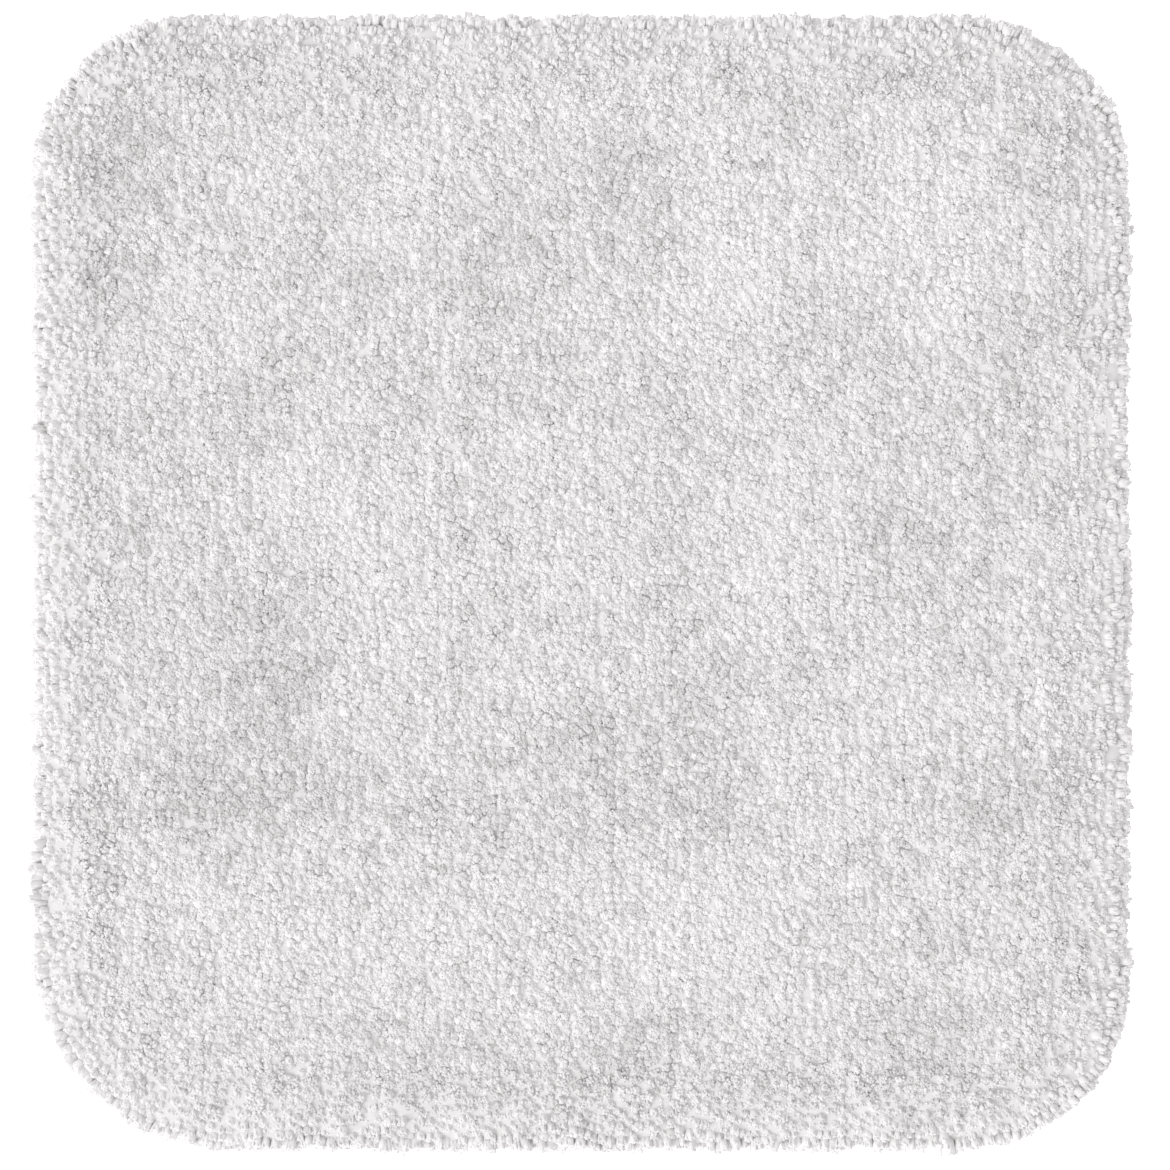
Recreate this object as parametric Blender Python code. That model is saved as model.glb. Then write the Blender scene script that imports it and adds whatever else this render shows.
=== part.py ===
"""A square tufted bath mat: rows of cut pile on a woven cloth, locked with binder,
coated underneath with ribbed anti-slip latex and overlocked round its edge.

Metres, +Z up. The origin is on the floor, under the middle of the mat. The tuft rows
run along Y, and X is across them.
"""

import math

import bmesh
import bpy
from mathutils import Matrix

# Driving dimensions
CLOTH_WIDTH = 0.584  # cloth, across the tuft rows
CLOTH_LENGTH = 0.604  # cloth, along the tuft rows
# Corner radii of the cut cloth, anticlockwise from the corner at +X +Y.
CORNER_RADII = (0.085, 0.080, 0.100, 0.085)
ROW_GAUGE = 0.0079375  # between tuft rows, 5/16 inch

RIB_HEIGHT = 0.0010  # latex over each row of back stitches
RIB_FOOT = 0.0030  # flat of a rib, on the floor
RIB_SLOPE = 0.0012  # width of each flank of a rib
COAT_THICKNESS = 0.0010
BINDER_THICKNESS = 0.0008
CLOTH_THICKNESS = 0.0008
PILE_HEIGHT = 0.0205
LAYER_GAP = 0.0003  # between pieces that rest on each other

THREAD_THICKNESS = 0.0006
OVERLOCK_REACH = 0.0045  # how far the loops reach in from the cloth's edge
NEEDLE_THREAD_RADIUS = 0.0003
COAT_MARGIN = 0.0010  # between the loops and the coats inside them
PILE_MARGIN = 0.0005  # between the needle thread and the first tufts

PILE_OVERHANG = 0.006  # how far the outer tufts fall past the cloth's edge
PILE_SHOULDER = 0.020  # how far in from the cloth's edge the pile starts to fall
# The pile's side, above the needle thread: shares of the overhang and of the rise.
PILE_SWELL = ((0.45, 0.20), (1.00, 0.40), (0.70, 0.66))
# Its rounded shoulder, above the side: shares of the way in and of the rise.
PILE_CROWN = ((0.15, 0.85), (0.50, 0.96), (1.00, 1.00))

LABEL_WIDTH = 0.052
LABEL_LENGTH = 0.032
LABEL_THICKNESS = 0.0004
LABEL_CLEARANCE = 0.001  # between the label and the ribs round it
LABEL_INSET = 0.115  # label's centre, in from the cloth's edges

ARC_STEPS = 8  # flats round each corner
THREAD_SIDES = 6

# Heights that follow from the layers
COAT_BOTTOM = RIB_HEIGHT
COAT_TOP = COAT_BOTTOM + COAT_THICKNESS
BINDER_BOTTOM = COAT_TOP + LAYER_GAP
BINDER_TOP = BINDER_BOTTOM + BINDER_THICKNESS
CLOTH_BOTTOM = BINDER_TOP + LAYER_GAP
CLOTH_TOP = CLOTH_BOTTOM + CLOTH_THICKNESS
PILE_BOTTOM = CLOTH_TOP + LAYER_GAP
PILE_TOP = PILE_BOTTOM + PILE_HEIGHT
NEEDLE_MIDDLE = CLOTH_TOP + LAYER_GAP + NEEDLE_THREAD_RADIUS
NEEDLE_TOP = NEEDLE_MIDDLE + NEEDLE_THREAD_RADIUS

# Offsets from the cloth's cut edge, positive outwards
COAT_EDGE = -(OVERLOCK_REACH + COAT_MARGIN)
NEEDLE_LINE = -(OVERLOCK_REACH + LAYER_GAP + NEEDLE_THREAD_RADIUS)
PILE_FOOT = NEEDLE_LINE - NEEDLE_THREAD_RADIUS - PILE_MARGIN

# As many rows as fit, two to a node. The outer two bands take up what is left over.
ROW_PAIRS = round((CLOTH_WIDTH + 2 * PILE_FOOT) / (2 * ROW_GAUGE))


def outline(offset):
    """The cloth's rounded outline, moved outwards by offset, anticlockwise from +X."""
    signs = ((1, 1), (-1, 1), (-1, -1), (1, -1))
    points = []
    for quarter, ((side_x, side_y), radius) in enumerate(zip(signs, CORNER_RADII)):
        centre_x = side_x * (CLOTH_WIDTH / 2 - radius)
        centre_y = side_y * (CLOTH_LENGTH / 2 - radius)
        for step in range(ARC_STEPS + 1):
            turn = math.pi / 2 * (quarter + step / ARC_STEPS)
            points.append(
                (
                    centre_x + (radius + offset) * math.cos(turn),
                    centre_y + (radius + offset) * math.sin(turn),
                )
            )
    return points


def add_ring(bm, offset, z):
    return [bm.verts.new((x, y, z)) for x, y in outline(offset)]


def bridge(bm, lower, upper):
    count = len(lower)
    for i in range(count):
        j = (i + 1) % count
        bm.faces.new((lower[i], lower[j], upper[j], upper[i]))


def stacked(levels):
    """A closed solid through (offset, z) outlines, from the lowest to the highest."""
    bm = bmesh.new()
    rings = [add_ring(bm, offset, z) for offset, z in levels]
    for lower, upper in zip(rings, rings[1:]):
        bridge(bm, lower, upper)
    bm.faces.new(reversed(rings[0]))
    bm.faces.new(rings[-1])
    return bm


def swept(profile):
    """A closed ring that runs round the edge, from an anticlockwise (offset, z) profile."""
    bm = bmesh.new()
    rings = [add_ring(bm, offset, z) for offset, z in profile]
    for first, second in zip(rings, rings[1:] + rings[:1]):
        bridge(bm, first, second)
    return bm


def box(width, length, low, high):
    bm = bmesh.new()
    bmesh.ops.create_cube(
        bm, size=1, matrix=Matrix.Diagonal((width, length, high - low, 1))
    )
    bmesh.ops.translate(bm, verts=bm.verts, vec=(0, 0, (low + high) / 2))
    return bm


def keep_between(bm, low_x, high_x):
    """Cuts the solid with two planes across X, and closes the cuts."""
    for x, normal in ((low_x, (-1, 0, 0)), (high_x, (1, 0, 0))):
        cut = bmesh.ops.bisect_plane(
            bm,
            geom=[*bm.verts, *bm.edges, *bm.faces],
            plane_co=(x, 0, 0),
            plane_no=normal,
            clear_outer=True,
        )
        edges = [e for e in cut["geom_cut"] if isinstance(e, bmesh.types.BMEdge)]
        bmesh.ops.edgeloop_fill(bm, edges=edges)


def material(name, colour, roughness):
    made = bpy.data.materials.new(name)
    made.use_nodes = True
    shader = made.node_tree.nodes["Principled BSDF"]
    shader.inputs["Base Color"].default_value = (*colour, 1)
    shader.inputs["Roughness"].default_value = roughness
    shader.inputs["Metallic"].default_value = 0
    return made


def part(name, bm, surface=None, smooth=False):
    """An object of the finished bmesh. One with no surface is a cutter."""
    bmesh.ops.recalc_face_normals(bm, faces=bm.faces)
    mesh = bpy.data.meshes.new(name)
    bm.to_mesh(mesh)
    bm.free()
    made = bpy.data.objects.new(name, mesh)
    bpy.context.scene.collection.objects.link(made)
    if surface:
        mesh.materials.append(surface)
    else:
        made.hide_render = True
        made.display_type = "WIRE"
    if smooth:
        mesh.shade_smooth()
        mesh.set_sharp_from_angle(angle=math.radians(40))
    return made


def boolean(target, cutter, operation):
    change = target.modifiers.new(cutter.name, "BOOLEAN")
    change.object = cutter
    change.operation = operation


def pile_levels():
    """The pile's side: up from its foot, out over the edge, and back to the flat top."""
    lip = NEEDLE_TOP + LAYER_GAP
    rise = PILE_TOP - lip
    swell = [(out * PILE_OVERHANG, lip + up * rise) for out, up in PILE_SWELL]
    crown = [(-way * PILE_SHOULDER, lip + up * rise) for way, up in PILE_CROWN]
    return [(PILE_FOOT, PILE_BOTTOM), (PILE_FOOT, lip), *swell, *crown]


def make_pile(surface):
    """The tuft rows, each node a band two rows wide, parted by a thin gap."""
    half_gap = LAYER_GAP / 2
    far = CLOTH_WIDTH / 2 + 2 * PILE_OVERHANG
    for pair in range(ROW_PAIRS):
        middle = 2 * ROW_GAUGE * (pair - (ROW_PAIRS - 1) / 2)
        low_x = -far if pair == 0 else middle - ROW_GAUGE + half_gap
        high_x = far if pair == ROW_PAIRS - 1 else middle + ROW_GAUGE - half_gap
        band = stacked(pile_levels())
        keep_between(band, low_x, high_x)
        part(f"tuft_rows_{pair + 1:02d}", band, surface, smooth=True)


def make_backing_cloth(surface):
    part("primary_backing", stacked(((0, CLOTH_BOTTOM), (0, CLOTH_TOP))), surface)


def make_binder(surface):
    levels = ((COAT_EDGE, BINDER_BOTTOM), (COAT_EDGE, BINDER_TOP))
    part("latex_binder", stacked(levels), surface)


def ribbed_sheet():
    """The coat before trimming: one rib under each tuft row, all of them along Y."""
    half_foot = RIB_FOOT / 2
    half_rib = half_foot + RIB_SLOPE
    rows = 2 * ROW_PAIRS
    under = []
    for row in range(rows):
        x = ROW_GAUGE * (row - (rows - 1) / 2)
        under += [
            (x - half_rib, COAT_BOTTOM),
            (x - half_foot, 0),
            (x + half_foot, 0),
            (x + half_rib, COAT_BOTTOM),
        ]
    far = CLOTH_WIDTH / 2
    section = [(-far, COAT_BOTTOM), *under, (far, COAT_BOTTOM), (far, COAT_TOP)]
    section.append((-far, COAT_TOP))
    bm = bmesh.new()
    start = [bm.verts.new((x, -CLOTH_LENGTH / 2, z)) for x, z in section]
    face = bm.faces.new(start)
    moved = bmesh.ops.extrude_face_region(bm, geom=[face])["geom"]
    ends = [v for v in moved if isinstance(v, bmesh.types.BMVert)]
    bmesh.ops.translate(bm, verts=ends, vec=(0, CLOTH_LENGTH, 0))
    return bm


def label_place():
    return Matrix.Translation(
        (CLOTH_WIDTH / 2 - LABEL_INSET, LABEL_INSET - CLOTH_LENGTH / 2, 0)
    )


def make_anti_slip_coat(surface):
    """The ribbed latex, trimmed to its outline, with the ribs pressed flat at the label."""
    beyond = 2 * COAT_THICKNESS
    coat = part("anti_slip_coat", ribbed_sheet(), surface)
    levels = ((COAT_EDGE, -beyond), (COAT_EDGE, COAT_TOP + beyond))
    boolean(coat, part("coat_outline", stacked(levels)), "INTERSECT")
    width = LABEL_WIDTH + 2 * LABEL_CLEARANCE
    length = LABEL_LENGTH + 2 * LABEL_CLEARANCE
    window = part("label_window", box(width, length, -beyond, COAT_BOTTOM))
    window.matrix_world = label_place()
    boolean(coat, window, "DIFFERENCE")


def make_care_label(surface):
    """A blank tape, bonded flat under the mat in the window between the ribs."""
    high = COAT_BOTTOM - LAYER_GAP
    bm = box(LABEL_WIDTH, LABEL_LENGTH, high - LABEL_THICKNESS, high)
    label = part("care_label", bm, surface)
    label.matrix_world = label_place()


def make_overlock(surface):
    """The three edge threads: loops over the top, loops underneath and the needle's line."""
    outside = LAYER_GAP + THREAD_THICKNESS
    middle = (CLOTH_BOTTOM + CLOTH_TOP) / 2
    for name, face_z, side in (
        ("upper_looper_thread", CLOTH_TOP, 1),
        ("lower_looper_thread", CLOTH_BOTTOM, -1),
    ):
        near = face_z + side * LAYER_GAP
        far = near + side * THREAD_THICKNESS
        end = middle + side * LAYER_GAP / 2
        profile = (
            (-OVERLOCK_REACH, near),
            (LAYER_GAP, near),
            (LAYER_GAP, end),
            (outside, end),
            (outside, far),
            (-OVERLOCK_REACH, far),
        )
        part(name, swept(profile), surface)
    turns = [2 * math.pi * i / THREAD_SIDES for i in range(THREAD_SIDES)]
    round_profile = [
        (
            NEEDLE_LINE + NEEDLE_THREAD_RADIUS * math.cos(t),
            NEEDLE_MIDDLE + NEEDLE_THREAD_RADIUS * math.sin(t),
        )
        for t in turns
    ]
    part("needle_thread", swept(round_profile), surface, smooth=True)


def main():
    for old in list(bpy.data.objects):
        bpy.data.objects.remove(old)
    white_yarn = material("pile_yarn", (0.76, 0.745, 0.748), 0.95)
    cloth = material("backing_cloth", (0.80, 0.79, 0.77), 0.9)
    binder = material("binder_latex", (0.74, 0.72, 0.66), 0.6)
    latex = material("grip_latex", (0.80, 0.78, 0.72), 0.55)
    thread = material("edge_thread", (0.80, 0.79, 0.79), 0.8)
    tape = material("label_tape", (0.86, 0.86, 0.86), 0.7)
    make_anti_slip_coat(latex)
    make_care_label(tape)
    make_binder(binder)
    make_backing_cloth(cloth)
    make_overlock(thread)
    make_pile(white_yarn)


main()
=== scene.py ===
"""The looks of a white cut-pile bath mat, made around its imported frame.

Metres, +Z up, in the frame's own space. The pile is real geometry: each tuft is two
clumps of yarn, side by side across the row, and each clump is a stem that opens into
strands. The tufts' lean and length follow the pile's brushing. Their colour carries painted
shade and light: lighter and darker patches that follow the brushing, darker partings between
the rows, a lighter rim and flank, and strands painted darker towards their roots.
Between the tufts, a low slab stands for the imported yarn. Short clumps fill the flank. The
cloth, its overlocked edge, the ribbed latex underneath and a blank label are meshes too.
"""

import math

import bpy
import numpy as np
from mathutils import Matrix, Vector, kdtree


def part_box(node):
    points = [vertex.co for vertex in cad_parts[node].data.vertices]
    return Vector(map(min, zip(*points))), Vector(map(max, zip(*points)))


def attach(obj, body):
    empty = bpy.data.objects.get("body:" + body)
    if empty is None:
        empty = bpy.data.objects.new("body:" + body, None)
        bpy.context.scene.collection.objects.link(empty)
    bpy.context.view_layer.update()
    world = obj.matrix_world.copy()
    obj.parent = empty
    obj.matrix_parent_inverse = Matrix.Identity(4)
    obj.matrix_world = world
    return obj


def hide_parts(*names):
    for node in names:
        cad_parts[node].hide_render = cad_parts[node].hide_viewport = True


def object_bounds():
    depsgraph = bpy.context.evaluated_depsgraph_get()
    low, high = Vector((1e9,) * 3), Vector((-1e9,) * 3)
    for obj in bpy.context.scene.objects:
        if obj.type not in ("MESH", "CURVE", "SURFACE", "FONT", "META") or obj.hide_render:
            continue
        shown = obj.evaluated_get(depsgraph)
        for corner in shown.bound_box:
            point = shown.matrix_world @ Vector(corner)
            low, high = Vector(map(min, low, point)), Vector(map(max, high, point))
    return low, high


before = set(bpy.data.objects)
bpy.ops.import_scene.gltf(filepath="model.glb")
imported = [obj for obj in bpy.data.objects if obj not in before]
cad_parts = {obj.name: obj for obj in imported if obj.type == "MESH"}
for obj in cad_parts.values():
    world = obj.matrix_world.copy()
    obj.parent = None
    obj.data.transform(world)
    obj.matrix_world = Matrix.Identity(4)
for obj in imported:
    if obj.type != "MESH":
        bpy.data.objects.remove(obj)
cad_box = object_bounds()

LAYER_GAP = 0.0003  # between the label and the latex

# Sizes that the frame gives
CLOTH_LOW, CLOTH_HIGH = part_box("primary_backing")
BASE_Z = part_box("care_label")[1].z + LAYER_GAP  # the latex between its ribs
HALF_WIDTH = CLOTH_HIGH.x
HALF_LENGTH = CLOTH_HIGH.y
CLOTH_TOP = CLOTH_HIGH.z
PILE_TOP = cad_box[1].z
BANDS = sorted(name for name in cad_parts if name.startswith("tuft_rows_"))
SECOND_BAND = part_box(BANDS[1])
THIRD_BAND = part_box(BANDS[2])
BAND_PITCH = THIRD_BAND[0].x - SECOND_BAND[0].x
ROW_GAUGE = BAND_PITCH / 2

# The cloth's corner radii, anticlockwise from the corner at +X +Y
CORNER_RADII = (0.085, 0.080, 0.100, 0.085)
SEED = 20
HALVINGS = 30  # of the range, in a search for the edge

# Pile
STITCH = 0.00467  # between tufts along a row
PLY_OFFSET = ROW_GAUGE * 0.215  # of a tuft's two clumps from the row's line
STRAY_X = 0.0016  # of a clump from its row's line, before the clumps push each other apart
STRAY_Y = 0.0015
PACKED_GAP = 0.0046
PACKING_ROUNDS = 9
PACKING_PUSH = 0.22
NEIGHBOURS = 6
ROW_RISE = 0.00028  # of the tufts in the middle of a row over those at its sides
# Painted shade: how much lighter the middle of a row is painted than the partings between rows
ROW_PAINTED_SHADE = 0.12
SHADE_RANGE = (0.02, 0.98)
FOOT_MARGIN = 0.0045  # from the cloth's edge to the outermost tufts
EDGE_BEND = 1.32  # of the outermost tufts, in radians
FRINGE_STEP = 0.0010  # between the short clumps along the flank
FRINGE_BENDS = (1.25, 3.00)
FRINGE_REACH = 0.0106  # how far out the short clumps' ends are from their feet
FRINGE_STRAY = 0.0006
FRINGE_RAYS = 4000  # that find where the flank's clumps are rooted
LIE = np.array([-0.9, -0.45])  # the way that the whole pile lies over
TIP_ROOM = 0.0012  # of the middle length under the pile's top, for the longer tufts
EDGE_ZONE = 0.034  # how far in the tufts begin to lean out
BANDS_A_PIECE = 2
SPREAD = 0.00188  # of a clump's outer strands from its middle
MASS_SHARE = 0.82  # of the pile's height
MASS_LOW = 0.30
MASS_SHOULDER = 0.010
MASS_MARGIN = -0.005
MASS_LAP = 0.002  # how far each piece's mass reaches under the next one's
MASS_COLUMNS = 11
MASS_ROWS = 200

# Edge stitching and underside
OVERLOCK_REACH = 0.0045
OVERLOCK_STITCH = 0.0022
POINTS_A_STITCH = 12
RAYS_A_POINT = 8
THREAD_RADIUS = 0.0003
THREAD_SIDES = 6
RIB_RISE = BASE_Z
COAT_ROWS = 240
CLOTH_COLUMNS = 160
CLOTH_ROWS = 160
LABEL_COLUMNS = 40
LABEL_ROWS = 26
LABEL_RIPPLE = 0.00006
LABEL_MARGIN = 0.001  # of flat latex round the label


def smooth(value):
    value = np.clip(value, 0, 1)
    return value * value * (3 - 2 * value)


def wavy(x, y, cell, seed):
    """Smooth noise from -1 to 1, with lumps about as wide as cell."""
    lattice = np.random.default_rng(seed).uniform(-1, 1, (256, 256))
    across = x / cell + 128
    along = y / cell + 128
    column = np.floor(across).astype(int)
    row = np.floor(along).astype(int)
    u = smooth(across - column)
    v = smooth(along - row)
    low = lattice[row, column] * (1 - u) + lattice[row, column + 1] * u
    high = lattice[row + 1, column] * (1 - u) + lattice[row + 1, column + 1] * u
    return low * (1 - v) + high * v


def from_edge(x, y):
    """How far points are inside the cloth's edge, and the unit direction outwards."""
    radius = np.select(
        [(x >= 0) & (y >= 0), (x < 0) & (y >= 0), (x < 0) & (y < 0)],
        CORNER_RADII[:3],
        CORNER_RADII[3],
    )
    past_x = np.abs(x) - (HALF_WIDTH - radius)
    past_y = np.abs(y) - (HALF_LENGTH - radius)
    corner = (past_x > 0) & (past_y > 0)
    reach = np.hypot(past_x, past_y)
    inside = np.where(corner, radius - reach, radius - np.maximum(past_x, past_y))
    sideways = past_x > past_y
    out_x = np.where(corner, past_x / np.maximum(reach, 1e-9), sideways)
    out_y = np.where(corner, past_y / np.maximum(reach, 1e-9), ~sideways)
    return inside, np.stack([out_x * np.sign(x), out_y * np.sign(y)], axis=-1)


# The pile's brush marks and the painted shade that goes with them: places, how wide each is,
# and how light (+) or dark (-) each is painted. The same values lean the pile a little more or
# less.
BRUSH_MARKS_AND_PAINTED_SHADE = (
    (-0.181, 0.099, 0.022, -1.0),
    (-0.165, -0.046, 0.034, -1.0),
    (-0.192, -0.105, 0.036, -0.8),
    (0.004, -0.091, 0.034, -0.8),
    (0.069, -0.102, 0.028, -0.7),
    (0.178, 0.034, 0.034, -0.7),
    (0.226, 0.100, 0.032, -0.8),
    (0.232, -0.113, 0.030, -0.7),
    (-0.045, 0.170, 0.026, -0.6),
    (0.025, 0.220, 0.028, -0.7),
    (-0.256, 0.170, 0.024, -0.7),
    (-0.249, 0.235, 0.034, -0.7),
    (0.254, 0.251, 0.030, -0.7),
    (0.015, -0.267, 0.044, -0.6),
    (-0.099, -0.262, 0.030, -0.5),
    (0.183, -0.259, 0.034, -0.6),
    (-0.072, 0.257, 0.032, 0.7),
    (-0.192, 0.159, 0.030, 0.7),
    (-0.159, 0.050, 0.030, 0.6),
    (-0.113, -0.004, 0.036, 0.7),
    (0.096, 0.012, 0.036, 0.6),
    (0.074, 0.175, 0.034, 0.7),
    (0.180, 0.213, 0.030, 0.6),
    (0.202, 0.162, 0.026, 0.6),
    (-0.029, 0.056, 0.034, 0.5),
    (0.118, -0.107, 0.026, 0.5),
)
CREASE_Y = -0.134  # a brush mark across the mat, painted shade above it and painted light below
CREASE_END = 0.150
CREASE_WIDTH = 0.012
# A band of painted light below the brush mark, which also leans the pile a little more
BAND_MIDDLE = -0.186
BAND_WIDTH = 0.040


def brushing_and_painted_shade(x, y):
    """The pile's brushing, from about -1 to 1. It leans the pile a little, and it is painted into
    the colour as shade, dark at -1 and light at 1.
    """
    lay_and_painted_shade = 0.15 * wavy(x, y, 0.060, 11) + 0.30 * wavy(x, y, 0.024, 12)
    lay_and_painted_shade = lay_and_painted_shade + 0.26 * wavy(x, y, 0.011, 22) + 0.68 * wavy(x, y, 0.0055, 27)
    for place_x, place_y, width, strength in BRUSH_MARKS_AND_PAINTED_SHADE:
        away = np.hypot(x - place_x, (y - place_y) * 0.8)
        lay_and_painted_shade = lay_and_painted_shade + strength * np.exp(-((away / width) ** 2))
    # The brush mark across the mat: painted shade just above it and painted light in a band below,
    # fading out towards CREASE_END.
    along = smooth((CREASE_END - x) / 0.08)
    below = CREASE_Y + 0.006 * wavy(x, y * 0, 0.09, 13) - y
    dark = np.exp(-(((below + CREASE_WIDTH) / CREASE_WIDTH) ** 2))
    light = np.exp(-(((y - BAND_MIDDLE) / BAND_WIDTH) ** 2))
    return lay_and_painted_shade + along * (0.55 * light - 0.45 * dark)


def packed(x, y):
    """The same places, pushed apart until they're spread evenly, as packed yarn is."""
    place = np.stack([x, y, np.zeros_like(x)], axis=-1)
    for _ in range(PACKING_ROUNDS):
        tree = kdtree.KDTree(len(place))
        for index, at in enumerate(place):
            tree.insert(at, index)
        tree.balance()
        near = np.array([[found[1] for found in tree.find_n(at, NEIGHBOURS + 1)] for at in place])
        apart = place[:, None] - place[near[:, 1:]]
        gap = np.linalg.norm(apart, axis=2, keepdims=True) + 1e-9
        push = np.clip(PACKED_GAP / gap - 1, 0, 1) * apart
        place = place + PACKING_PUSH * push.sum(axis=1)
        inside, outward = from_edge(place[:, 0], place[:, 1])
        place[:, :2] -= outward * np.clip(FOOT_MARGIN - inside, 0, None)[:, None]
    return place[:, 0], place[:, 1]


def clump_places():
    """Where each clump is rooted, and which band of rows it belongs to."""
    rng = np.random.default_rng(SEED)
    rows = 2 * len(BANDS)
    columns = []
    for row in range(rows):
        row_x = ROW_GAUGE * (row - (rows - 1) / 2)
        columns += [(row // 2, row_x - PLY_OFFSET), (row // 2, row_x + PLY_OFFSET)]
    steps = math.floor(HALF_LENGTH / STITCH)
    y = STITCH * np.arange(-steps, steps + 1)
    band = np.repeat([c[0] for c in columns], len(y))
    x = np.repeat([c[1] for c in columns], len(y))
    phase = rng.uniform(-STITCH / 2, STITCH / 2, len(columns))
    y = np.tile(y, len(columns)) + np.repeat(phase, len(y))
    inside, _ = from_edge(x, y)
    kept = inside > FOOT_MARGIN
    band, x, y = band[kept], x[kept], y[kept]
    x, y = packed(x + rng.normal(0, STRAY_X, len(x)), y + rng.normal(0, STRAY_Y, len(x)))
    return band, x, y


def rim_points(inside, rays):
    """Points round the mat, a distance inside its edge, one on each ray from its middle."""
    turn = np.linspace(0, 2 * math.pi, rays, endpoint=False)
    ray_x, ray_y = np.cos(turn), np.sin(turn)
    low, high = np.zeros_like(turn), np.full_like(turn, HALF_WIDTH + HALF_LENGTH)
    for _ in range(HALVINGS):
        middle = (low + high) / 2
        deep, _ = from_edge(ray_x * middle, ray_y * middle)
        low = np.where(deep > inside, middle, low)
        high = np.where(deep > inside, high, middle)
    return ray_x * low, ray_y * low


def fringe_places():
    """Where the short clumps are rooted that fill the mat's flank, under the outermost."""
    rng = np.random.default_rng(SEED + 3)
    ring_x, ring_y = rim_points(FOOT_MARGIN, FRINGE_RAYS)
    ray = np.arange(FRINGE_RAYS)
    step = np.hypot(np.diff(ring_x, append=ring_x[0]), np.diff(ring_y, append=ring_y[0]))
    reached = np.cumsum(step)
    number = int(reached[-1] / FRINGE_STEP)
    at = np.interp(np.arange(number) * FRINGE_STEP, reached, ray)
    x = np.interp(at, ray, ring_x) + rng.normal(0, FRINGE_STRAY, number)
    y = np.interp(at, ray, ring_y) + rng.normal(0, FRINGE_STRAY, number)
    band = np.floor(x / BAND_PITCH + len(BANDS) / 2).astype(int)
    return np.clip(band, 0, len(BANDS) - 1), x, y


def outward_bend(inside):
    """How far the pile bends over towards the mat's edge, in radians, from where it's rooted."""
    edge = np.clip(1 - (inside - FOOT_MARGIN) / EDGE_ZONE, 0, 1)
    return EDGE_BEND * edge**1.3, edge


def clump_shapes(x, y):
    """Each clump's bend, length, spread and shade, as a dict of arrays. The shade is the clump's
    own tone with painted shade and light added.
    """
    rng = np.random.default_rng(SEED + 1)
    count = len(x)
    inside, outward = from_edge(x, y)
    fall, edge = outward_bend(inside)
    lay_and_painted_shade = brushing_and_painted_shade(x, y)
    # Inside, the pile leans a little, turned by its brushing. At the edge it falls outwards.
    turn = 2.2 * wavy(x, y, 0.045, 16) + 0.5 * wavy(x, y, 0.014, 17) - 0.6
    lean = np.stack([np.cos(turn), np.sin(turn)], axis=-1) * (0.20 + 0.10 * lay_and_painted_shade)[:, None]
    lean = lean + rng.normal(0, 0.06, (count, 2))
    lean = lean * (1 - 0.6 * edge)[:, None] + outward * fall[:, None]
    bend = np.linalg.norm(lean, axis=1) + 1e-6
    length = PILE_TOP - CLOTH_TOP - TIP_ROOM
    length = length * (1 + 0.030 * wavy(x, y, 0.010, 18) + 0.018 * wavy(x, y, 0.035, 19))
    length = length * (1 + 0.015 * wavy(x, y / 5, 0.008, 21) + 0.05 * edge * wavy(x, y, 0.009, 23))
    length = length + rng.normal(0, 0.00038, count) * (1 + 1.6 * edge)
    row = np.cos(2 * math.pi * (x / ROW_GAUGE - 0.5)) * (1 + 0.6 * wavy(x, y, 0.020, 26))
    length = length + ROW_RISE * row
    spread = SPREAD * (1 + rng.normal(0, 0.15, count)) * (1 + 0.10 * edge)
    twist = rng.uniform(0, 2 * math.pi, count)
    # The shade for the colour: each clump's own random tone, plus painted shade and light, namely
    # the brush patches, darker partings between the rows and a lighter rim where the pile faces the
    # light.
    shade = 0.55 + 0.40 * lay_and_painted_shade + 0.55 * edge**2 + ROW_PAINTED_SHADE * row + rng.normal(0, 0.16, count)
    return {
        "x": x,
        "y": y,
        "edge": edge,
        "bend": bend,
        "direction": lean / bend[:, None],
        "length": length,
        "spread": spread,
        "twist": twist,
        "shade": np.clip(shade, *SHADE_RANGE),
    }


def fringe_shapes(x, y):
    """The same for the flank's clumps, which are shorter and hang over the edge."""
    rng = np.random.default_rng(SEED + 4)
    count = len(x)
    _, outward = from_edge(x, y)
    along_edge = np.stack([-outward[:, 1], outward[:, 0]], axis=-1)
    direction = outward + along_edge * rng.normal(0, 0.22, count)[:, None]
    bend = rng.uniform(*FRINGE_BENDS, count)
    ragged = 1 + rng.normal(0, 0.08, count) + 0.15 * wavy(x, y, 0.010, 23) + 0.11 * outward @ LIE
    return {
        "x": x,
        "y": y,
        "edge": np.ones(count),
        "bend": bend,
        "direction": direction / np.linalg.norm(direction, axis=1)[:, None],
        "length": FRINGE_REACH * bend / (1 - np.cos(bend)) * ragged,
        "spread": SPREAD * (1 + rng.normal(0, 0.15, count)),
        "twist": rng.uniform(0, 2 * math.pi, count),
        # Painted light: the flank's clumps are painted lighter than the middle of the pile, as a
        # lit rim
        "shade": np.clip(0.85 + rng.normal(0, 0.12, count), *SHADE_RANGE),
    }


def bent(clumps, along):
    """Places and axes along each clump's arc, at along (clumps, n) shares of its length."""
    bend = clumps["bend"][:, None]
    length = clumps["length"][:, None]
    turned = bend * along
    out = length * (1 - np.cos(turned)) / bend
    up = length * np.sin(turned) / bend
    way = clumps["direction"]
    place = np.stack(
        [
            clumps["x"][:, None] + out * way[:, :1],
            clumps["y"][:, None] + out * way[:, 1:],
            CLOTH_TOP + up,
        ],
        axis=-1,
    )
    cos, sin = np.cos(turned), np.sin(turned)
    first = np.stack([cos * way[:, :1], cos * way[:, 1:], -sin], axis=-1)
    flat = np.zeros_like(cos)
    second = np.stack([flat - way[:, 1:], flat + way[:, :1], flat], axis=-1)
    return place, first, second


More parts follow.
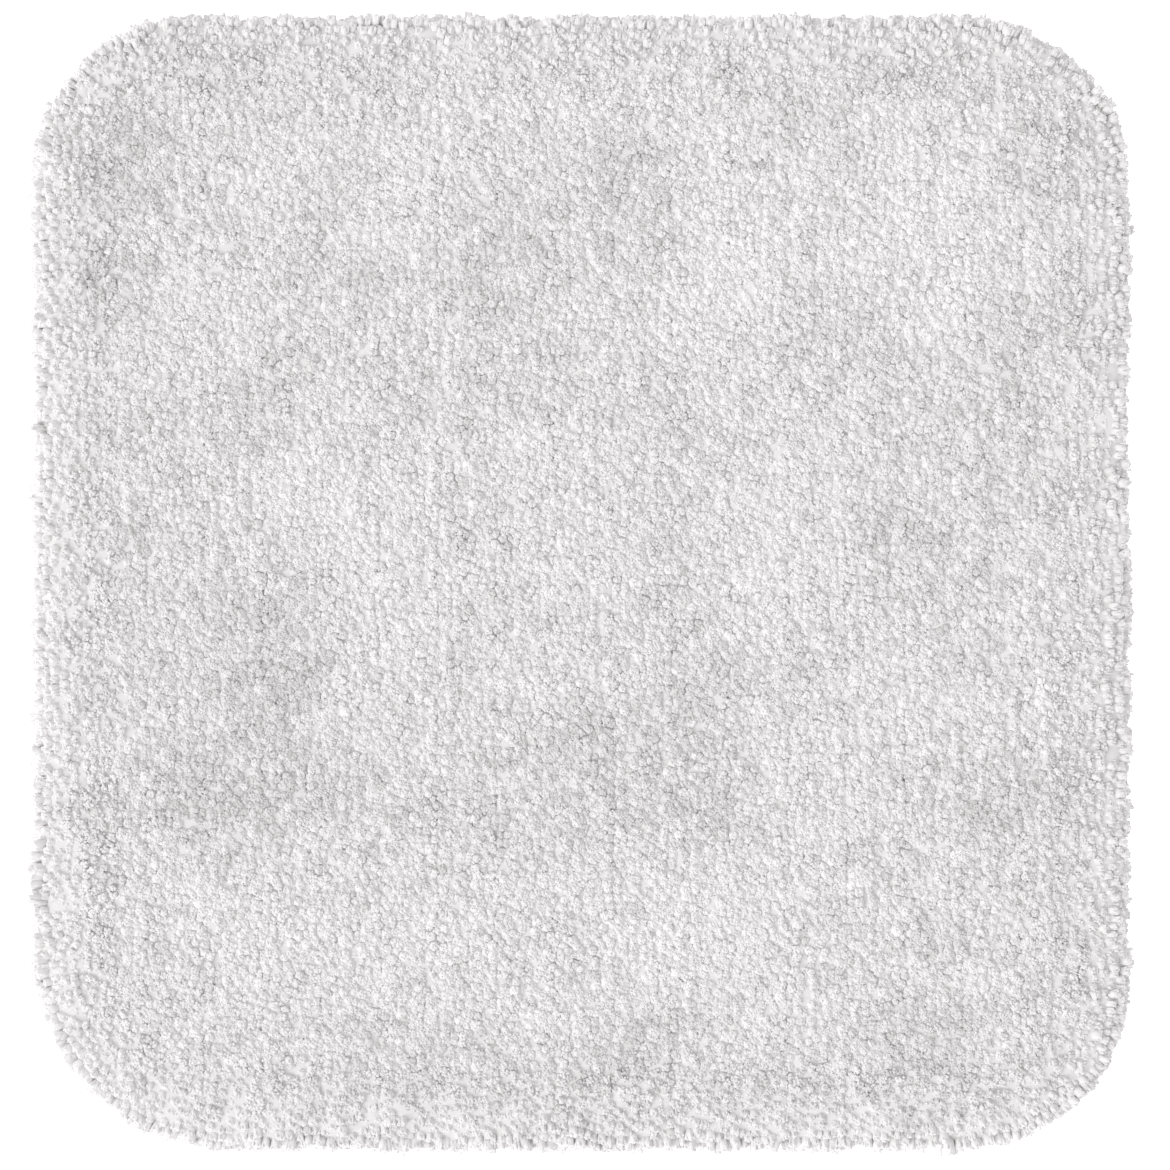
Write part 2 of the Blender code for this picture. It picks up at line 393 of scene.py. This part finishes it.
class Tubes:
    """Gathers closed tubes of one kind at a time, and makes them into one mesh."""

    def __init__(self):
        self.points, self.maps, self.quads = [], [], []
        self.triangles = [np.zeros((0, 3), int)]
        self.count = 0

    def add(self, rings, tip, ring_map, tip_map):
        """rings (n, levels, sides, 3), tip (n, 3), and the same of the map's (u, v)."""
        number, levels, sides = rings.shape[:3]
        size = levels * sides + 1
        start = self.count + size * np.arange(number)[:, None]
        points = np.concatenate([rings.reshape(number, -1, 3), tip[:, None]], axis=1)
        maps = np.concatenate([ring_map.reshape(number, -1, 2), tip_map[:, None]], axis=1)
        self.points.append(points.reshape(-1, 3))
        self.maps.append(maps.reshape(-1, 2))
        side = np.arange(sides)
        after = (side + 1) % sides
        for level in range(levels - 1):
            low, high = level * sides, (level + 1) * sides
            quad = np.stack([low + side, low + after, high + after, high + side], axis=-1)
            self.quads.append((start + quad.reshape(1, -1)).reshape(-1, 4))
        last = (levels - 1) * sides
        cap = np.stack([last + side, last + after, np.full(sides, size - 1)], axis=-1)
        self.triangles.append((start + cap.reshape(1, -1)).reshape(-1, 3))
        fan = np.stack([np.zeros(sides - 2, int), side[2:], side[1:-1]], axis=-1)
        self.triangles.append((start + fan.reshape(1, -1)).reshape(-1, 3))
        self.count += size * number

    def add_slab(self, top, base, place):
        """A closed slab between two grids of points, with one place in the map all over."""
        columns, rows = top.shape[:2]
        number = self.count + np.arange(columns * rows).reshape(columns, rows)
        under = number + columns * rows
        self.points += [top.reshape(-1, 3), base.reshape(-1, 3)]
        self.maps.append(np.tile(place, (2 * columns * rows, 1)))
        for grid, step in ((number, 1), (under, -1)):
            quad = np.stack([grid[:-1, :-1], grid[1:, :-1], grid[1:, 1:], grid[:-1, 1:]], axis=-1)
            self.quads.append(quad.reshape(-1, 4)[:, ::step])
        rim = [number[:, 0], number[-1, :], number[::-1, -1], number[0, ::-1]]
        round_it = np.concatenate([side[:-1] for side in rim])
        after = np.roll(round_it, -1)
        low = columns * rows
        wall = np.stack([round_it, round_it + low, after + low, after], axis=-1)
        self.quads.append(wall)
        self.count += 2 * columns * rows

    def mesh(self, name):
        points = np.concatenate(self.points)
        maps = np.concatenate(self.maps)
        quads = np.concatenate(self.quads)
        triangles = np.concatenate(self.triangles)
        corners = np.concatenate([quads.ravel(), triangles.ravel()])
        starts = np.concatenate(
            [4 * np.arange(len(quads)), quads.size + 3 * np.arange(len(triangles))]
        )
        made = bpy.data.meshes.new(name)
        made.vertices.add(len(points))
        made.vertices.foreach_set("co", points.astype(np.float32).ravel())
        made.loops.add(len(corners))
        made.loops.foreach_set("vertex_index", corners.astype(np.int32))
        made.polygons.add(len(starts))
        made.polygons.foreach_set("loop_start", starts.astype(np.int32))
        layer = made.uv_layers.new(name="OFBake")
        layer.data.foreach_set("uv", maps[corners].astype(np.float32).ravel())
        made.update()
        made.shade_smooth()
        return made


# Strands and stems. Their levels are the share of the length, and of the widest radius.
GOLDEN_ANGLE = math.pi * (3 - math.sqrt(5))
STRAND_NUMBER = 10
STRAND_SIDES = 4
STRAND_RADIUS = 0.00088
INNER_STRAND = ((0.800, 0.80), (0.962, 1.00))
EDGE_STRAND = ((0.500, 0.80), (0.965, 1.00))
STRAND_DOME = 0.034  # how much shorter the outermost strands are
STRAND_UNEVEN = 0.010
STRAND_STRAY = 0.00050  # of a strand's end, sideways
CURL_REACH = 0.0008  # the least one that a strand turns on
STEM_RADIUS = 0.00295
STEM_TOP = 0.955
INNER_STEM = (6, ((0.70, 0.92), (0.86, 1.00), (0.932, 0.70)))
EDGE_STEM = (5, ((0.00, 0.45), (0.45, 0.66), (0.80, 0.80), (0.925, 0.62)))
SHADE_SHARE = 0.90  # of the map's width: the rest runs round the strand


def ring_points(clumps, along, away, around, radius, sides):
    """Rings of a tube that runs up each clump at a distance and angle from its middle."""
    place, first, second = bent(clumps, along)
    centre = place + away[..., None] * (
        np.cos(around)[..., None] * first + np.sin(around)[..., None] * second
    )
    turn = np.linspace(0, 2 * math.pi, sides, endpoint=False)
    spoke = turn[None, None, :] + around[:, :1, None]
    levels = slice(0, -1)
    rings = centre[:, levels, None] + radius[:, :, None, None] * (
        np.cos(spoke)[..., None] * first[:, levels, None]
        + np.sin(spoke)[..., None] * second[:, levels, None]
    )
    return rings, centre[:, -1], turn


def tube_map(along, shade, turn):
    """The map of a tube's rings and tip: shade across it, and height up it."""
    round_it = 1 - np.abs(1 - turn / math.pi)
    across = SHADE_SHARE * shade[:, None] + (1 - SHADE_SHARE) * round_it[None, :]
    up = 0.02 + 0.92 * along
    size = (len(shade), along.shape[1] - 1, len(turn))
    rings = np.stack(
        [np.broadcast_to(across[:, None], size), np.broadcast_to(up[:, :-1, None], size)],
        axis=-1,
    )
    return rings, np.stack([SHADE_SHARE * shade + 0.05, up[:, -1]], axis=-1)


def add_strands(tubes, clumps, levels, rng):
    """The strands of some clumps, spread evenly over each clump's end."""
    count = len(clumps["x"])
    levels = np.array(levels)
    for strand in range(STRAND_NUMBER):
        outer = math.sqrt(strand / (STRAND_NUMBER - 1))
        around = clumps["twist"] + GOLDEN_ANGLE * strand + rng.normal(0, 0.25, count)
        wide = clumps["spread"] * (0.15 + 0.95 * outer) * (1 + rng.normal(0, 0.14, count))
        tall = 1.0 - STRAND_DOME * outer**2 + rng.normal(0, STRAND_UNEVEN, count)
        thick = STRAND_RADIUS * np.clip(1 + rng.normal(0, 0.22, count), 0.5, 1.6)
        along = np.append(levels[:, 0], 1.0)[None, :] * tall[:, None]
        away = wide[:, None] * (0.45 + 0.55 * smooth(along))
        stray = smooth((along - 0.80) / 0.20) * STRAND_STRAY
        away = away + stray * rng.normal(0, 1, (count, 1))
        sideways = stray * rng.normal(0, 1, (count, 1))
        curl = around[:, None] + sideways / np.maximum(wide, CURL_REACH)[:, None]
        radius = levels[None, :, 1] * thick[:, None]
        rings, tip, turn = ring_points(clumps, along, away, curl, radius, STRAND_SIDES)
        shade = np.clip(clumps["shade"] + rng.normal(0, 0.04, count), 0.01, 0.99)
        ring_map, tip_map = tube_map(along, shade, turn)
        tubes.add(rings, tip, ring_map, tip_map)


def add_stems(tubes, clumps, sides, levels):
    """The closed shank of yarn that each clump's strands come out of."""
    levels = np.array(levels)
    count = len(clumps["x"])
    along = np.broadcast_to(np.append(levels[:, 0], STEM_TOP), (count, len(levels) + 1))
    still = np.zeros_like(along)
    thick = STEM_RADIUS * clumps["spread"] / SPREAD
    radius = levels[None, :, 1] * thick[:, None]
    around = still + clumps["twist"][:, None]
    rings, tip, turn = ring_points(clumps, along, still, around, radius, sides)
    ring_map, tip_map = tube_map(along, clumps["shade"], turn)
    tubes.add(rings, tip, ring_map, tip_map)


def edge_at(x, inside, side):
    """The y at which points on a side (1 or -1) of the mat are a distance inside its edge."""
    low = np.zeros_like(x)
    high = np.full_like(x, HALF_LENGTH + HALF_WIDTH)
    for _ in range(HALVINGS):
        middle = (low + high) / 2
        deep, _ = from_edge(x, side * middle)
        low = np.where(deep > inside, middle, low)
        high = np.where(deep > inside, high, middle)
    return side * low


def add_mass(tubes, low_x, high_x):
    """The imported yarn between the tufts, up to a little below their ends."""
    limit = HALF_WIDTH - MASS_MARGIN - 1e-4
    x = np.linspace(max(low_x - MASS_LAP, -limit), min(high_x + MASS_LAP, limit), MASS_COLUMNS)
    low, high = edge_at(x, MASS_MARGIN, -1), edge_at(x, MASS_MARGIN, 1)
    share = np.linspace(-1, 1, MASS_ROWS)
    share = np.sin(share * math.pi / 2)
    y = low[:, None] + (high - low)[:, None] * (share + 1) / 2
    x = np.repeat(x[:, None], MASS_ROWS, axis=1)
    inside, _ = from_edge(x, y)
    foot = np.linspace(FOOT_MARGIN, FOOT_MARGIN + 2 * EDGE_ZONE, 100)
    bend = outward_bend(foot)[0] + 1e-6
    length = PILE_TOP - CLOTH_TOP
    fallen = foot - length * (1 - np.cos(bend)) / bend
    pile = np.interp(inside, fallen, length * np.sin(bend) / bend)
    shoulder = np.clip((inside - MASS_MARGIN) / MASS_SHOULDER, 0, 1)
    tall = pile * MASS_SHARE * (MASS_LOW + (1 - MASS_LOW) * np.sqrt(shoulder * (2 - shoulder)))
    tall = tall * (1 + 0.030 * wavy(x, y, 0.010, 18) + 0.018 * wavy(x, y, 0.035, 19))
    tall = tall * (1 + 0.045 * wavy(x, y, 0.0026, 24))
    tall[[0, -1]] -= MASS_LAP
    top = np.stack([x, y, CLOTH_TOP + tall], axis=-1)
    base = np.stack([x, y, np.full_like(x, CLOTH_TOP)], axis=-1)
    # The slab takes the middle shade and the painted shade at the map's height 0.80, a little
    # darker than the strands' ends
    tubes.add_slab(top, base, (0.5, 0.80))


def some(clumps, chosen):
    return {key: value[chosen] for key, value in clumps.items()}


def make_pile(surface):
    """The tufts, in pieces of a few bands of rows. Each stands for those bands' nodes."""
    band, x, y = clump_places()
    clumps = clump_shapes(x, y)
    fringe_band, x, y = fringe_places()
    fringe = fringe_shapes(x, y)
    rng = np.random.default_rng(SEED + 2)
    firsts = [0, *range(1, len(BANDS), BANDS_A_PIECE)]
    for first, after in zip(firsts, [*firsts[1:], len(BANDS)]):
        names = BANDS[first:after]
        here = (band >= first) & (band < after)
        there = (fringe_band >= first) & (fringe_band < after)
        tubes = Tubes()
        bent_over = clumps["edge"] > 0
        groups = (
            (some(clumps, here & ~bent_over), INNER_STRAND, INNER_STEM),
            (some(clumps, here & bent_over), EDGE_STRAND, EDGE_STEM),
            (some(fringe, there), EDGE_STRAND, EDGE_STEM),
        )
        for group, strand, stem in groups:
            if len(group["x"]):
                add_strands(tubes, group, strand, rng)
                add_stems(tubes, group, *stem)
        middle = (first + (len(names) - 1) / 2 - (len(BANDS) - 1) / 2) * BAND_PITCH
        reach = len(names) * BAND_PITCH / 2
        low_x = middle - reach if first > 0 else -math.inf
        high_x = middle + reach if after < len(BANDS) else math.inf
        add_mass(tubes, low_x, high_x)
        name = f"pile_rows_{names[0][-2:]}_{names[-1][-2:]}"
        piece = bpy.data.objects.new(name, tubes.mesh(name))
        bpy.context.scene.collection.objects.link(piece)
        piece.data.materials.append(surface)
        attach(piece, "root")
        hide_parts(*names)


def new_material(name):
    made = bpy.data.materials.new(name)
    made.use_nodes = True
    return made, made.node_tree, made.node_tree.nodes["Principled BSDF"]


def node(tree, kind, **inputs):
    made = tree.nodes.new(kind)
    for key, value in inputs.items():
        made.inputs[key.replace("_", " ")].default_value = value
    return made


def colour_ramp(tree, factor, *stops):
    """A colour ramp on factor, through (place, colour) stops."""
    made = tree.nodes.new("ShaderNodeValToRGB")
    tree.links.new(factor, made.inputs["Fac"])
    elements = made.color_ramp.elements
    while len(elements) < len(stops):
        elements.new(0.5)
    for element, (place, colour) in zip(elements, stops):
        element.position = place
        element.color = (*colour, 1)
    return made.outputs["Color"]


def multiplied(tree, first, second):
    made = tree.nodes.new("ShaderNodeMix")
    made.data_type = "RGBA"
    made.blend_type = "MULTIPLY"
    made.inputs["Factor"].default_value = 1
    tree.links.new(first, made.inputs["A"])
    tree.links.new(second, made.inputs["B"])
    return made.outputs["Result"]


def yarn_material():
    """White yarn. The pile's map has the shade across it, with its painted shade and light, and the
    height up it, along which the strands are painted darker towards their roots.
    """
    made, tree, shader = new_material("pile_yarn")
    link = tree.links.new
    place = tree.nodes.new("ShaderNodeUVMap")
    place.uv_map = "OFBake"
    parts = tree.nodes.new("ShaderNodeSeparateXYZ")
    link(place.outputs["UV"], parts.inputs[0])
    # Across the map: the clumps' own tone and the painted shade and light of the brush patches, row
    # partings and rim
    shade = colour_ramp(
        tree,
        parts.outputs["X"],
        (0.0, (0.715, 0.705, 0.707)),
        (0.5, (0.880, 0.866, 0.873)),
        (1.0, (0.966, 0.948, 0.960)),
    )
    # Painted shade: the strands darker and a little warmer towards their roots, deep in the pile
    painted_depth_shade = colour_ramp(
        tree,
        parts.outputs["Y"],
        (0.0, (0.86, 0.855, 0.84)),
        (0.70, (0.94, 0.935, 0.93)),
        (0.92, (1.0, 1.0, 1.0)),
    )
    fibres = tree.nodes.new("ShaderNodeMapping")
    fibres.inputs["Scale"].default_value = (230, 7, 1)
    link(place.outputs["UV"], fibres.inputs["Vector"])
    streaks = node(tree, "ShaderNodeTexNoise", Scale=1.0, Detail=3.0, Roughness=0.6)
    link(fibres.outputs["Vector"], streaks.inputs["Vector"])
    tint = colour_ramp(
        tree,
        streaks.outputs["Fac"],
        (0.25, (0.95, 0.95, 0.945)),
        (0.75, (1.0, 1.0, 1.0)),
    )
    colour = multiplied(tree, multiplied(tree, shade, painted_depth_shade), tint)
    link(colour, shader.inputs["Base Color"])
    rough = tree.nodes.new("ShaderNodeMapRange")
    rough.inputs["To Min"].default_value = 0.80
    rough.inputs["To Max"].default_value = 1.0
    link(streaks.outputs["Fac"], rough.inputs["Value"])
    link(rough.outputs["Result"], shader.inputs["Roughness"])
    bump = node(tree, "ShaderNodeBump", Strength=0.35, Distance=0.0003)
    link(streaks.outputs["Fac"], bump.inputs["Height"])
    link(bump.outputs["Normal"], shader.inputs["Normal"])
    shader.inputs["Sheen Weight"].default_value = 0.25
    shader.inputs["Sheen Roughness"].default_value = 0.6
    shader.inputs["Specular IOR Level"].default_value = 0.25
    return made


LENS = 170  # in millimetres, a long one as in a product picture
SEEN_WIDTH = 0.6355  # of the pile's plane, in the picture
CAMERA_PLACE = (0.0011, -0.0014)


def make_camera():
    """Straight down, with the mat filling the frame."""
    lens = bpy.data.cameras.new("camera")
    lens.lens = LENS
    camera = bpy.data.objects.new("camera", lens)
    camera.location = (*CAMERA_PLACE, PILE_TOP + SEEN_WIDTH * lens.lens / lens.sensor_width)
    bpy.context.scene.collection.objects.link(camera)
    bpy.context.scene.camera = camera


WALL = 1.0  # how bright the studio is at the horizon
CEILING = 0.60  # and overhead
KEY_STRENGTH = 1.45
KEY_WIDTH = math.radians(40)
KEY_WAY = Vector((-0.89, -0.45, 0.95))  # from the mat to the key light


def make_light():
    """A pale studio, brighter round the mat than over it, and a soft key light."""
    scene = bpy.context.scene
    scene.view_settings.view_transform = "Standard"
    world = bpy.data.worlds.new("studio")
    world.use_nodes = True
    tree = world.node_tree
    way = tree.nodes.new("ShaderNodeTexCoord")
    parts = tree.nodes.new("ShaderNodeSeparateXYZ")
    tree.links.new(way.outputs["Generated"], parts.inputs[0])
    sky = colour_ramp(tree, parts.outputs["Z"], (0.0, (WALL,) * 3), (1.0, (CEILING,) * 3))
    tree.links.new(sky, tree.nodes["Background"].inputs["Color"])
    scene.world = world
    lamp = bpy.data.lights.new("key", "SUN")
    lamp.energy = KEY_STRENGTH
    lamp.angle = KEY_WIDTH
    key = bpy.data.objects.new("key", lamp)
    key.rotation_mode = "QUATERNION"
    key.rotation_quaternion = KEY_WAY.to_track_quat("Z", "Y")
    scene.collection.objects.link(key)


def ring_at(inside, number):
    """Points round the mat, evenly spaced, a distance inside its edge, with their outward ways."""
    ring = np.stack(rim_points(inside, RAYS_A_POINT * number), axis=-1)
    closed = np.concatenate([ring, ring[:1]])
    reached = np.append(0, np.cumsum(np.linalg.norm(np.diff(closed, axis=0), axis=1)))
    at = np.linspace(0, reached[-1], number, endpoint=False)
    x = np.interp(at, reached, closed[:, 0])
    y = np.interp(at, reached, closed[:, 1])
    _, outward = from_edge(x, y)
    return x, y, outward


def thread_ring(name, x, y, z, radius, surface):
    """A closed ring of thread through the points, all the way round the mat."""
    centre = np.stack([x, y, z], axis=-1)
    ahead = np.roll(centre, -1, axis=0) - np.roll(centre, 1, axis=0)
    ahead /= np.linalg.norm(ahead, axis=1)[:, None]
    sideways = np.stack([-ahead[:, 1], ahead[:, 0], np.zeros(len(x))], axis=-1)
    sideways /= np.linalg.norm(sideways, axis=1)[:, None]
    above = np.cross(ahead, sideways)
    turn = np.linspace(0, 2 * math.pi, THREAD_SIDES, endpoint=False)
    rings = centre[:, None] + radius * (
        np.cos(turn)[None, :, None] * sideways[:, None]
        + np.sin(turn)[None, :, None] * above[:, None]
    )
    number = np.arange(len(x) * THREAD_SIDES).reshape(len(x), THREAD_SIDES)
    after = np.roll(number, -1, axis=0)
    faces = np.stack(
        [number, np.roll(number, -1, axis=1), np.roll(after, -1, axis=1), after], axis=-1
    )
    made = bpy.data.meshes.new(name)
    made.from_pydata(rings.reshape(-1, 3).tolist(), [], faces.reshape(-1, 4).tolist())
    made.shade_smooth()
    piece = bpy.data.objects.new(name, made)
    bpy.context.scene.collection.objects.link(piece)
    made.materials.append(surface)
    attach(piece, "root")
    return piece


def make_overlock(surface):
    """The edge's stitching: loops over the top, loops underneath, and the needle's stitches."""
    top_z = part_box("upper_looper_thread")[1].z - THREAD_RADIUS
    under_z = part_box("lower_looper_thread")[0].z + THREAD_RADIUS
    edge_z = (CLOTH_LOW.z + CLOTH_HIGH.z) / 2
    stitches = int(2 * (HALF_WIDTH + HALF_LENGTH) * 2 * 0.95 / OVERLOCK_STITCH)
    number = stitches * POINTS_A_STITCH
    phase = np.arange(number) / POINTS_A_STITCH
    x, y, outward = ring_at(0.0, number)
    rng = np.random.default_rng(SEED + 5)
    for name, node_name, face_z, shift in (
        ("overlock_upper_loops", "upper_looper_thread", top_z, 0.0),
        ("overlock_lower_loops", "lower_looper_thread", under_z, 0.5),
    ):
        swing = 0.5 - 0.5 * np.cos(2 * math.pi * (phase + shift))
        uneven = np.repeat(rng.normal(1, 0.05, stitches), POINTS_A_STITCH)
        inwards = OVERLOCK_REACH * uneven * swing**0.8 - THREAD_RADIUS * 1.6
        along = 0.30 * OVERLOCK_STITCH * np.sin(4 * math.pi * (phase + shift))
        z = edge_z + (face_z - edge_z) * smooth(inwards / 0.0009 + 0.6)
        loop_x = x - outward[:, 0] * inwards - outward[:, 1] * along
        loop_y = y - outward[:, 1] * inwards + outward[:, 0] * along
        piece = thread_ring(name, loop_x, loop_y, z, THREAD_RADIUS, surface)
        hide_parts(node_name)
    needle_low, needle_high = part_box("needle_thread")
    x, y, _ = ring_at(HALF_WIDTH - needle_high.x + THREAD_RADIUS, number)
    dip = np.abs(np.sin(math.pi * phase)) ** 0.5
    z = needle_low.z + THREAD_RADIUS * (dip - 0.2)
    piece = thread_ring("overlock_needle_stitches", x, y, z, THREAD_RADIUS * 0.8, surface)
    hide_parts("needle_thread")


def closed_plate(name, top, under, surface):
    """A closed plate between an upper and a lower grid of points."""
    tubes = Tubes()
    tubes.add_slab(top, under, (0.5, 0.5))
    made = tubes.mesh(name)
    made.uv_layers.remove(made.uv_layers["OFBake"])
    made.materials.append(surface)
    made.set_sharp_from_angle(angle=math.radians(50))
    piece = bpy.data.objects.new(name, made)
    bpy.context.scene.collection.objects.link(piece)
    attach(piece, "root")
    return piece


def mat_grid(inside, x, rows):
    """A grid of (x, y) in columns at x, each between the mat's edges less a margin."""
    low, high = edge_at(x, inside, -1), edge_at(x, inside, 1)
    share = np.linspace(0, 1, rows)
    y = low[:, None] + (high - low)[:, None] * share
    return np.repeat(x[:, None], rows, axis=1), y


def make_cloth(surface):
    """The woven cloth that the tufts are sewn through."""
    share = np.sin(np.linspace(-1, 1, CLOTH_COLUMNS) * math.pi / 2)
    x, y = mat_grid(1e-6, share * (HALF_WIDTH - 2e-6), CLOTH_ROWS)
    top = np.stack([x, y, np.full_like(x, CLOTH_HIGH.z)], axis=-1)
    under = np.stack([x, y, np.full_like(x, CLOTH_LOW.z)], axis=-1)
    cloth = closed_plate("woven_cloth", top, under, surface)
    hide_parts("primary_backing")


def make_grip_coat(surface):
    """The latex underneath, ribbed over the rows of back stitches and lumpy over each one."""
    low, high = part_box("anti_slip_coat")
    label_low, label_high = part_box("care_label")
    rows = 2 * len(BANDS)
    offsets = np.array([-0.5, -0.30, -0.17, 0.17, 0.30]) * ROW_GAUGE
    middles = ROW_GAUGE * (np.arange(rows + 1) - (rows - 1) / 2)
    x = np.sort((middles[:, None] + offsets[None, :]).ravel())
    x = x[np.abs(x) < high.x - 0.0006]
    x = np.concatenate([[low.x + 1e-5], x, [high.x - 1e-5]])
    x, y = mat_grid(HALF_WIDTH - high.x, x, COAT_ROWS)
    across = (x / ROW_GAUGE) % 1.0 - 0.5  # from the middle of a rib
    rib = smooth((0.34 - np.abs(across)) / 0.17)
    wave = 0.5 + 0.5 * np.cos(2 * math.pi * (y + 0.0012 * wavy(x, y, 0.012, 31)) / STITCH)
    crust = 0.5 + 0.5 * wavy(x, y, 0.003, 32)
    z = BASE_Z - rib * (RIB_RISE * (0.68 + 0.32 * wave)) + 0.00012 * crust * (1 - rib * wave)
    window = (x > label_low.x - LABEL_MARGIN) & (x < label_high.x + LABEL_MARGIN)
    window &= (y > label_low.y - LABEL_MARGIN) & (y < label_high.y + LABEL_MARGIN)
    z = np.where(window, BASE_Z, np.maximum(z, 0.0))
    top = np.stack([x, y, np.full_like(x, high.z)], axis=-1)
    under = np.stack([x, y, z], axis=-1)
    coat = closed_plate("grip_coat", top, under, surface)
    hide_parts("anti_slip_coat")


def make_label(surface):
    """A blank satin tape, bonded flat under the mat."""
    low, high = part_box("care_label")
    columns = np.linspace(low.x, high.x, LABEL_COLUMNS)
    x, y = np.meshgrid(columns, np.linspace(low.y, high.y, LABEL_ROWS), indexing="ij")
    ripple = LABEL_RIPPLE * wavy(x, y, 0.012, 41)
    top = np.stack([x, y, np.full_like(x, high.z)], axis=-1)
    under = np.stack([x, y, low.z + LABEL_RIPPLE + ripple], axis=-1)
    label = closed_plate("label_tape", top, under, surface)
    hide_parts("care_label")


def noise_colour(tree, scale, low, high, detail=4.0):
    """A colour that wanders between two, in the object's own space, and its noise."""
    place = tree.nodes.new("ShaderNodeTexCoord")
    noise = node(tree, "ShaderNodeTexNoise", Scale=scale, Detail=detail, Roughness=0.6)
    tree.links.new(place.outputs["Object"], noise.inputs["Vector"])
    colour = colour_ramp(tree, noise.outputs["Fac"], (0.3, low), (0.7, high))
    return colour, noise.outputs["Fac"], place.outputs["Object"]


def finish_surface(tree, shader, colour, height, roughness, strength, distance):
    """Wires a colour, a height for the bump and the roughness that goes with it."""
    link = tree.links.new
    link(colour, shader.inputs["Base Color"])
    rough = tree.nodes.new("ShaderNodeMapRange")
    rough.inputs["To Min"].default_value = roughness[0]
    rough.inputs["To Max"].default_value = roughness[1]
    link(height, rough.inputs["Value"])
    link(rough.outputs["Result"], shader.inputs["Roughness"])
    bump = node(tree, "ShaderNodeBump", Strength=strength, Distance=distance)
    link(height, bump.inputs["Height"])
    link(bump.outputs["Normal"], shader.inputs["Normal"])


WAVES_AT_ONE = 0.1  # a wave texture's scale over its number of waves in a metre


def weave_height(tree, place, pitch):
    """Plain weave: warp and weft waves, each over the other in turn."""
    link = tree.links.new
    waves = []
    for direction in ("X", "Y"):
        wave = node(tree, "ShaderNodeTexWave", Scale=WAVES_AT_ONE / pitch)
        wave.bands_direction = direction
        wave.wave_profile = "SIN"
        link(place, wave.inputs["Vector"])
        waves.append(wave.outputs["Fac"])
    both = tree.nodes.new("ShaderNodeMath")
    both.operation = "MAXIMUM"
    link(waves[0], both.inputs[0])
    link(waves[1], both.inputs[1])
    return both.outputs[0]


def cloth_material():
    made, tree, shader = new_material("backing_cloth")
    colour, _, place = noise_colour(tree, 60, (0.78, 0.765, 0.745), (0.84, 0.83, 0.815))
    height = weave_height(tree, place, 0.0011)
    # Painted shade: the cloth darker where the weave is low, between its threads
    shade = colour_ramp(tree, height, (0.2, (0.80, 0.79, 0.78)), (0.9, (1, 1, 1)))
    finish_surface(tree, shader, multiplied(tree, colour, shade), height, (0.75, 0.92), 0.6, 0.0003)
    shader.inputs["Sheen Weight"].default_value = 0.1
    return made


def thread_material():
    made, tree, shader = new_material("edge_thread")
    colour, noise, _ = noise_colour(tree, 260, (0.80, 0.79, 0.785), (0.90, 0.89, 0.895))
    finish_surface(tree, shader, colour, noise, (0.55, 0.80), 0.5, 0.0002)
    shader.inputs["Sheen Weight"].default_value = 0.2
    return made


def latex_material(name, low, high, roughness):
    """Dried latex: mottled, pitted by small bubbles, and slightly shiny."""
    made, tree, shader = new_material(name)
    colour, _, place = noise_colour(tree, 45, low, high)
    pits = node(tree, "ShaderNodeTexVoronoi", Scale=420.0)
    tree.links.new(place, pits.inputs["Vector"])
    rim = tree.nodes.new("ShaderNodeMapRange")
    rim.inputs["From Max"].default_value = 0.35
    tree.links.new(pits.outputs["Distance"], rim.inputs["Value"])
    fine = node(tree, "ShaderNodeTexNoise", Scale=900.0, Detail=3.0)
    tree.links.new(place, fine.inputs["Vector"])
    height = tree.nodes.new("ShaderNodeMix")
    height.inputs["Factor"].default_value = 0.35
    tree.links.new(rim.outputs["Result"], height.inputs["A"])
    tree.links.new(fine.outputs["Fac"], height.inputs["B"])
    finish_surface(tree, shader, colour, height.outputs["Result"], roughness, 0.4, 0.0002)
    return made


def tape_material():
    """Satin tape: fine ribs across it, a soft shine and nothing printed on it."""
    made, tree, shader = new_material("label_tape")
    colour, _, place = noise_colour(tree, 80, (0.86, 0.86, 0.865), (0.92, 0.92, 0.925))
    ribs = node(tree, "ShaderNodeTexWave", Scale=450.0, Distortion=0.4)
    ribs.bands_direction = "Y"
    tree.links.new(place, ribs.inputs["Vector"])
    finish_surface(tree, shader, colour, ribs.outputs["Fac"], (0.35, 0.5), 0.25, 0.0001)
    return made


FLOOR_SIZE = 14


def make_floor():
    made, tree, shader = new_material("floor_white")
    shader.inputs["Base Color"].default_value = (0.60, 0.60, 0.60, 1)
    shader.inputs["Roughness"].default_value = 0.9
    shader.inputs["Emission Color"].default_value = (1, 1, 1, 1)
    shader.inputs["Emission Strength"].default_value = 1.0
    bpy.ops.mesh.primitive_plane_add(size=FLOOR_SIZE, location=(0, 0, 0))
    floor = bpy.context.object
    floor.name = "floor"
    floor.data.materials.append(made)


def dress_binder(surface):
    """The binder keeps its CAD shape, hidden but for its rim, and gets a latex surface."""
    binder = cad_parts["latex_binder"]
    binder.data.materials.clear()
    binder.data.materials.append(surface)


make_floor()
make_light()
make_camera()
make_pile(yarn_material())
make_cloth(cloth_material())
make_overlock(thread_material())
make_grip_coat(latex_material("grip_latex", (0.76, 0.735, 0.68), (0.84, 0.82, 0.77), (0.42, 0.68)))
dress_binder(latex_material("binder_latex", (0.70, 0.68, 0.61), (0.78, 0.76, 0.70), (0.5, 0.7)))
make_label(tape_material())
